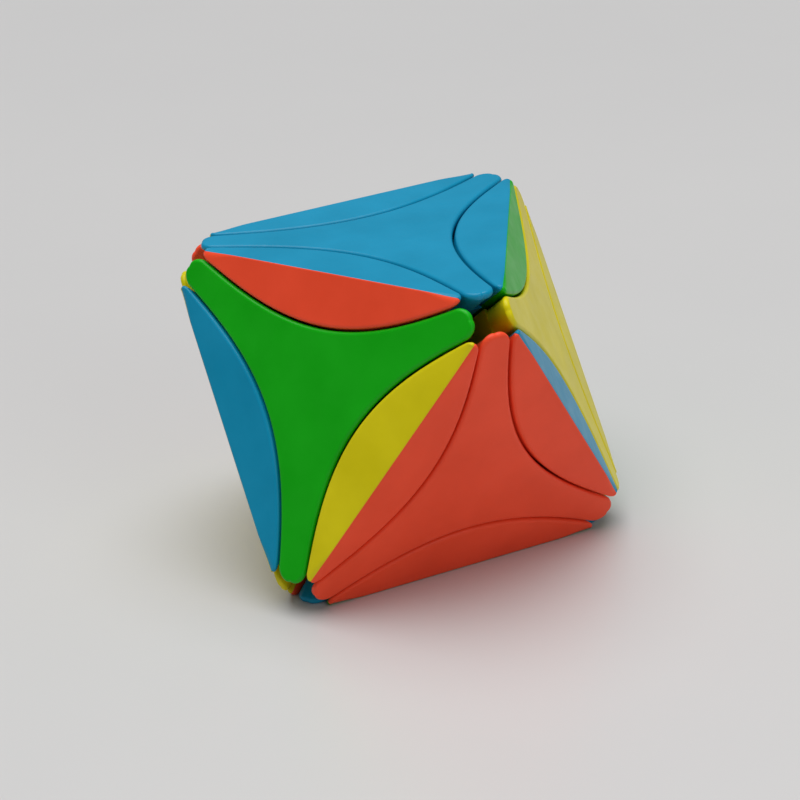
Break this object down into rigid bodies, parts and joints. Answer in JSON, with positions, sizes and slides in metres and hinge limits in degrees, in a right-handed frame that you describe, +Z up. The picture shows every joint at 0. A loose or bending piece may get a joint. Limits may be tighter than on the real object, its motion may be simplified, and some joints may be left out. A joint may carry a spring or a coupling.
{
  "type": "face-turning octahedron puzzle",
  "caption": "Octahedral twisty puzzle resting on a face, with curved cuts: three-armed star centres and two-coloured lens edges that turn in layers about a hidden core.",
  "frame": {"origin": "middle of the triangular face that the puzzle rests on", "axes": "+Z up through the opposite face; -Y towards the lower front face, which leans in under the front corner edge of the top; +X to the right"},
  "size_m": [0.0658, 0.072, 0.0539],
  "materials": {
    "blue_plastic": "satin moulded ABS, coloured through",
    "green_plastic": "satin moulded ABS, coloured through",
    "red_plastic": "satin moulded ABS, orange-red, coloured through",
    "yellow_plastic": "satin moulded ABS, coloured through",
    "black_plastic": "plain moulded nylon or ABS",
    "steel": "plain zinc-plated steel"
  },
  "bodies": {
    "core": {"core": "black_plastic", "axis_screws": "steel", "screw_washers": "steel", "screw_springs": "steel"},
    "top_star": {"top_star_cap": "blue_plastic", "top_star_base": "blue_plastic"},
    "upper_left_star": {"upper_left_star_cap": "green_plastic", "upper_left_star_base": "green_plastic"},
    "upper_right_star": {"upper_right_star_cap": "yellow_plastic", "upper_right_star_base": "yellow_plastic"},
    "upper_back_star": {"upper_back_star_cap": "red_plastic", "upper_back_star_base": "red_plastic"},
    "lower_front_star": {"lower_front_star_cap": "red_plastic", "lower_front_star_base": "red_plastic"},
    "lower_left_star": {"lower_left_star_cap": "yellow_plastic", "lower_left_star_base": "yellow_plastic"},
    "lower_right_star": {"lower_right_star_cap": "green_plastic", "lower_right_star_base": "green_plastic"},
    "bottom_star": {"bottom_star_cap": "blue_plastic", "bottom_star_base": "blue_plastic"},
    "edge_top_left": {"edge_top_left_foot": "black_plastic", "edge_top_left_shell_on_top": "blue_plastic", "edge_top_left_shell_on_upper_left": "red_plastic"},
    "edge_top_right": {"edge_top_right_foot": "black_plastic", "edge_top_right_shell_on_top": "blue_plastic", "edge_top_right_shell_on_upper_right": "green_plastic"},
    "edge_top_back": {"edge_top_back_foot": "black_plastic", "edge_top_back_shell_on_top": "blue_plastic", "edge_top_back_shell_on_upper_back": "yellow_plastic"},
    "edge_front_left": {"edge_front_left_foot": "black_plastic", "edge_front_left_shell_on_lower_front": "red_plastic", "edge_front_left_shell_on_upper_left": "yellow_plastic"},
    "edge_front_right": {"edge_front_right_foot": "black_plastic", "edge_front_right_shell_on_lower_front": "red_plastic", "edge_front_right_shell_on_upper_right": "blue_plastic"},
    "edge_side_left": {"edge_side_left_foot": "black_plastic", "edge_side_left_shell_on_lower_left": "yellow_plastic", "edge_side_left_shell_on_upper_left": "blue_plastic"},
    "edge_side_right": {"edge_side_right_foot": "black_plastic", "edge_side_right_shell_on_lower_right": "green_plastic", "edge_side_right_shell_on_upper_right": "yellow_plastic"},
    "edge_back_left": {"edge_back_left_foot": "black_plastic", "edge_back_left_shell_on_lower_left": "yellow_plastic", "edge_back_left_shell_on_upper_back": "green_plastic"},
    "edge_back_right": {"edge_back_right_foot": "black_plastic", "edge_back_right_shell_on_lower_right": "green_plastic", "edge_back_right_shell_on_upper_back": "red_plastic"},
    "edge_bottom_front": {"edge_bottom_front_foot": "black_plastic", "edge_bottom_front_shell_on_lower_front": "red_plastic", "edge_bottom_front_shell_on_bottom": "green_plastic"},
    "edge_bottom_left": {"edge_bottom_left_foot": "black_plastic", "edge_bottom_left_shell_on_lower_left": "yellow_plastic", "edge_bottom_left_shell_on_bottom": "red_plastic"},
    "edge_bottom_right": {"edge_bottom_right_foot": "black_plastic", "edge_bottom_right_shell_on_lower_right": "green_plastic", "edge_bottom_right_shell_on_bottom": "blue_plastic"}
  },
  "joints": [
    {"name": "top_turn", "type": "hinge", "parent": "core", "child": "top_star", "pos_m": [0, 0, 0.02694], "axis": [0, 0, 1], "range_deg": [0, 180]},
    {"name": "upper_left_turn", "type": "hinge", "parent": "core", "child": "upper_left_star", "pos_m": [0, 0, 0.02694], "axis": [-0.8165, -0.4714, 0.3333], "range_deg": [-180, 0]},
    {"name": "upper_right_turn", "type": "hinge", "parent": "core", "child": "upper_right_star", "pos_m": [0, 0, 0.02694], "axis": [0.8165, -0.4714, 0.3333], "range_deg": [-180, 0]},
    {"name": "upper_back_turn", "type": "hinge", "parent": "core", "child": "upper_back_star", "pos_m": [0, 0, 0.02694], "axis": [0, 0.9428, 0.3333], "range_deg": [-180, 0]},
    {"name": "lower_front_turn", "type": "hinge", "parent": "core", "child": "lower_front_star", "pos_m": [0, 0, 0.02694], "axis": [0, -0.9428, -0.3333], "range_deg": [0, 180]},
    {"name": "lower_left_turn", "type": "hinge", "parent": "core", "child": "lower_left_star", "pos_m": [0, 0, 0.02694], "axis": [-0.8165, 0.4714, -0.3333], "range_deg": [0, 180]},
    {"name": "lower_right_turn", "type": "hinge", "parent": "core", "child": "lower_right_star", "pos_m": [0, 0, 0.02694], "axis": [0.8165, 0.4714, -0.3333], "range_deg": [0, 180]},
    {"name": "bottom_turn", "type": "hinge", "parent": "core", "child": "bottom_star", "pos_m": [0, 0, 0.02694], "axis": [0, 0, -1], "range_deg": [-180, 0]},
    {"name": "edge_top_left_ride", "type": "hinge", "parent": "top_star", "child": "edge_top_left", "pos_m": [0, 0, 0.02694], "axis": [-0.8165, -0.4714, 0.3333], "range_deg": [-180, 0]},
    {"name": "edge_top_right_ride", "type": "hinge", "parent": "top_star", "child": "edge_top_right", "pos_m": [0, 0, 0.02694], "axis": [0.8165, -0.4714, 0.3333], "range_deg": [-180, 0]},
    {"name": "edge_top_back_ride", "type": "hinge", "parent": "top_star", "child": "edge_top_back", "pos_m": [0, 0, 0.02694], "axis": [0, 0.9428, 0.3333], "range_deg": [-180, 0]},
    {"name": "edge_front_left_ride", "type": "hinge", "parent": "lower_front_star", "child": "edge_front_left", "pos_m": [0, 0, 0.02694], "axis": [-0.8165, -0.4714, 0.3333], "range_deg": [-180, 0]},
    {"name": "edge_front_right_ride", "type": "hinge", "parent": "lower_front_star", "child": "edge_front_right", "pos_m": [0, 0, 0.02694], "axis": [0.8165, -0.4714, 0.3333], "range_deg": [-180, 0]},
    {"name": "edge_side_left_ride", "type": "hinge", "parent": "lower_left_star", "child": "edge_side_left", "pos_m": [0, 0, 0.02694], "axis": [-0.8165, -0.4714, 0.3333], "range_deg": [-180, 0]},
    {"name": "edge_side_right_ride", "type": "hinge", "parent": "lower_right_star", "child": "edge_side_right", "pos_m": [0, 0, 0.02694], "axis": [0.8165, -0.4714, 0.3333], "range_deg": [-180, 0]},
    {"name": "edge_back_left_ride", "type": "hinge", "parent": "lower_left_star", "child": "edge_back_left", "pos_m": [0, 0, 0.02694], "axis": [0, 0.9428, 0.3333], "range_deg": [-180, 0]},
    {"name": "edge_back_right_ride", "type": "hinge", "parent": "lower_right_star", "child": "edge_back_right", "pos_m": [0, 0, 0.02694], "axis": [0, 0.9428, 0.3333], "range_deg": [-180, 0]},
    {"name": "edge_bottom_front_ride", "type": "hinge", "parent": "lower_front_star", "child": "edge_bottom_front", "pos_m": [0, 0, 0.02694], "axis": [0, 0, -1], "range_deg": [-180, 0]},
    {"name": "edge_bottom_left_ride", "type": "hinge", "parent": "lower_left_star", "child": "edge_bottom_left", "pos_m": [0, 0, 0.02694], "axis": [0, 0, -1], "range_deg": [-180, 0]},
    {"name": "edge_bottom_right_ride", "type": "hinge", "parent": "lower_right_star", "child": "edge_bottom_right", "pos_m": [0, 0, 0.02694], "axis": [0, 0, -1], "range_deg": [-180, 0]}
  ],
  "couplings": [
    {"joint": "edge_top_left_ride", "follows": "upper_left_turn", "ratio": 1},
    {"joint": "edge_top_right_ride", "follows": "upper_right_turn", "ratio": 1},
    {"joint": "edge_top_back_ride", "follows": "upper_back_turn", "ratio": 1},
    {"joint": "edge_front_left_ride", "follows": "upper_left_turn", "ratio": 1},
    {"joint": "edge_front_right_ride", "follows": "upper_right_turn", "ratio": 1},
    {"joint": "edge_side_left_ride", "follows": "upper_left_turn", "ratio": 1},
    {"joint": "edge_side_right_ride", "follows": "upper_right_turn", "ratio": 1},
    {"joint": "edge_back_left_ride", "follows": "upper_back_turn", "ratio": 1},
    {"joint": "edge_back_right_ride", "follows": "upper_back_turn", "ratio": 1},
    {"joint": "edge_bottom_front_ride", "follows": "bottom_turn", "ratio": 1},
    {"joint": "edge_bottom_left_ride", "follows": "bottom_turn", "ratio": 1},
    {"joint": "edge_bottom_right_ride", "follows": "bottom_turn", "ratio": 1}
  ]
}
